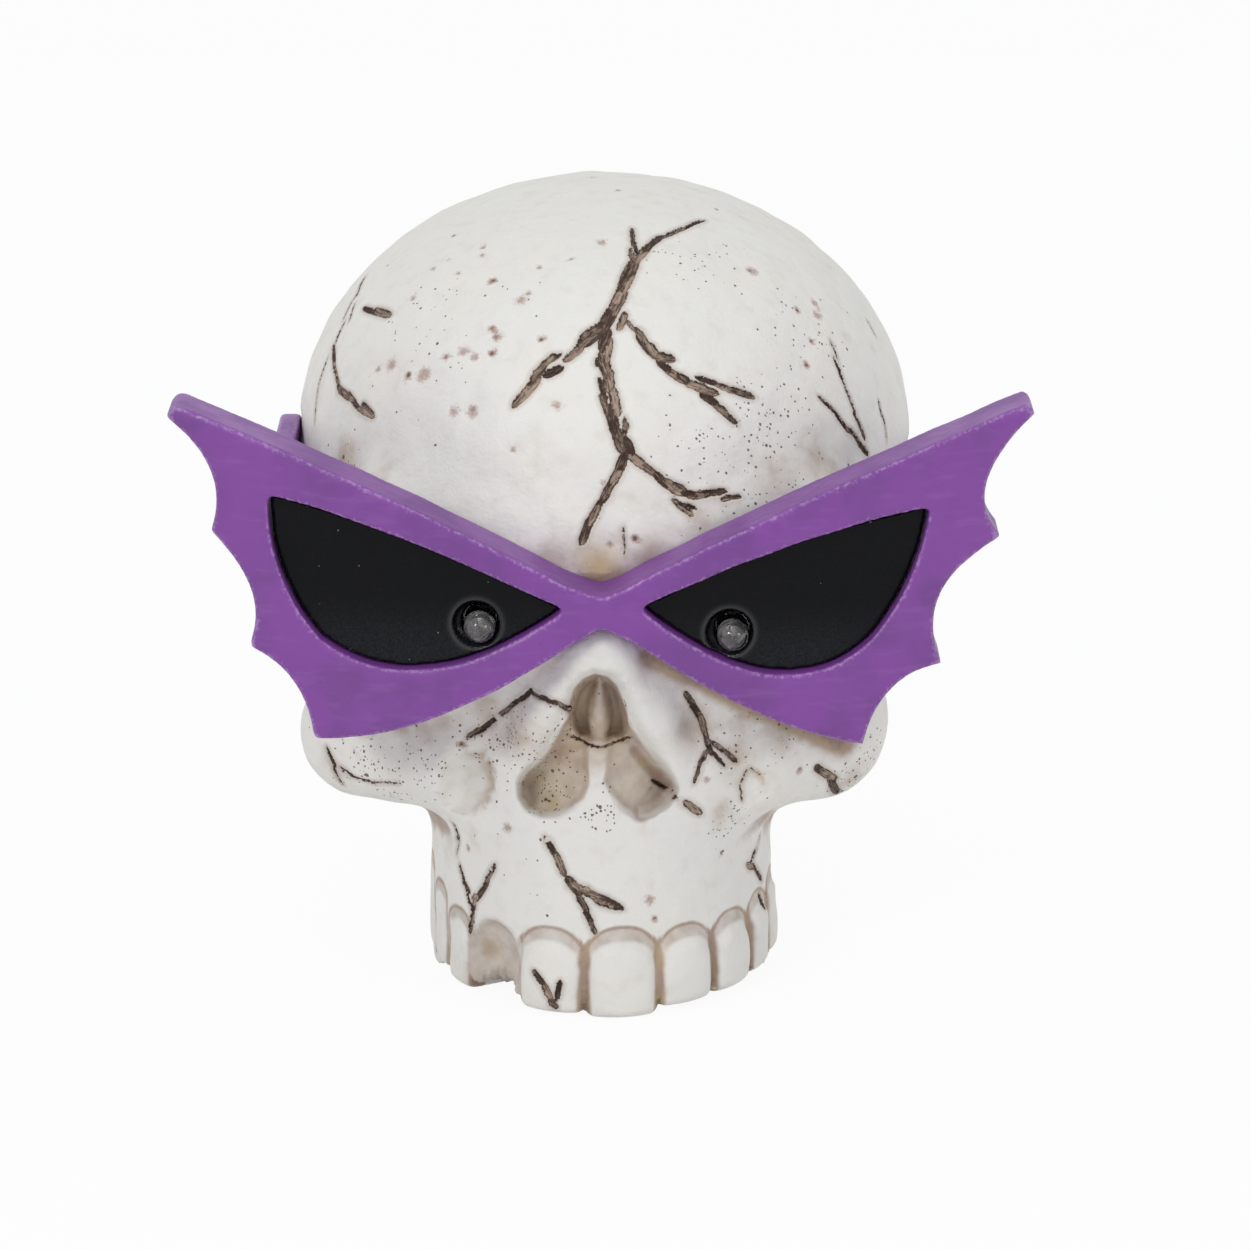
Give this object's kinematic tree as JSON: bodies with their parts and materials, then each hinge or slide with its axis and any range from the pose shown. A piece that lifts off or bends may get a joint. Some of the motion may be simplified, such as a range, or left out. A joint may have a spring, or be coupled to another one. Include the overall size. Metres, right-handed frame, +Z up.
{
  "type": "halloween skull decoration",
  "caption": "Table-top skull in cracked bone-coloured resin with bat-wing glasses, dark lenses with LED eyes, and a hinged battery cover and slide switch in the base.",
  "frame": {"origin": "middle of the outer box, at the height of the table", "axes": "+Z up, -Y the way the face looks, +X to the right of someone who looks at the face"},
  "size_m": [0.1382, 0.1324, 0.1263],
  "materials": {
    "bone_resin": "matte, with a brown wash in the cracks",
    "purple_paint": "satin, worn lighter along the edges",
    "lens_black": "gloss",
    "clear_epoxy": "clear",
    "tinned_steel": "bright",
    "shrink_sleeve": "matte",
    "red_insulation": "satin",
    "black_insulation": "satin",
    "box_plastic": "fine moulded texture",
    "cell_label": "gloss sleeve with a plain end",
    "nickel_steel": "nickel plated",
    "knob_plastic": "moulded"
  },
  "bodies": {
    "skull": {"battery_box": "box_plastic", "battery_cell_left": "cell_label", "battery_cell_right": "cell_label", "glasses_frame": "purple_paint", "led_left": "clear_epoxy", "led_right": "clear_epoxy", "left_anode_lead": "tinned_steel", "left_anode_sleeve": "shrink_sleeve", "left_black_wire": "black_insulation", "left_cathode_lead": "tinned_steel", "left_cathode_sleeve": "shrink_sleeve", "left_red_wire": "red_insulation", "lens_left": "lens_black", "lens_right": "lens_black", "link_plate": "nickel_steel", "negative_plate": "nickel_steel", "positive_plate": "nickel_steel", "right_anode_lead": "tinned_steel", "right_anode_sleeve": "shrink_sleeve", "right_black_wire": "black_insulation", "right_cathode_lead": "tinned_steel", "right_cathode_sleeve": "shrink_sleeve", "right_red_wire": "red_insulation", "skull_shell": "bone_resin", "spring_left": "nickel_steel", "spring_right": "nickel_steel", "switch_body": "nickel_steel", "temple_arm_left": "purple_paint", "temple_arm_right": "purple_paint"},
    "cover": {"battery_cover": "box_plastic"},
    "slider": {"switch_slider": "knob_plastic"}
  },
  "joints": [
    {"name": "cover_hinge", "type": "hinge", "parent": "skull", "child": "cover", "pos_m": [0.00042, 0.0393, 0.0017], "axis": [1, 0, 0], "range_deg": [0, 80]},
    {"name": "switch_slide", "type": "slide", "parent": "skull", "child": "slider", "axis": [1, 0, 0], "range_m": [0, 0.002]}
  ]
}
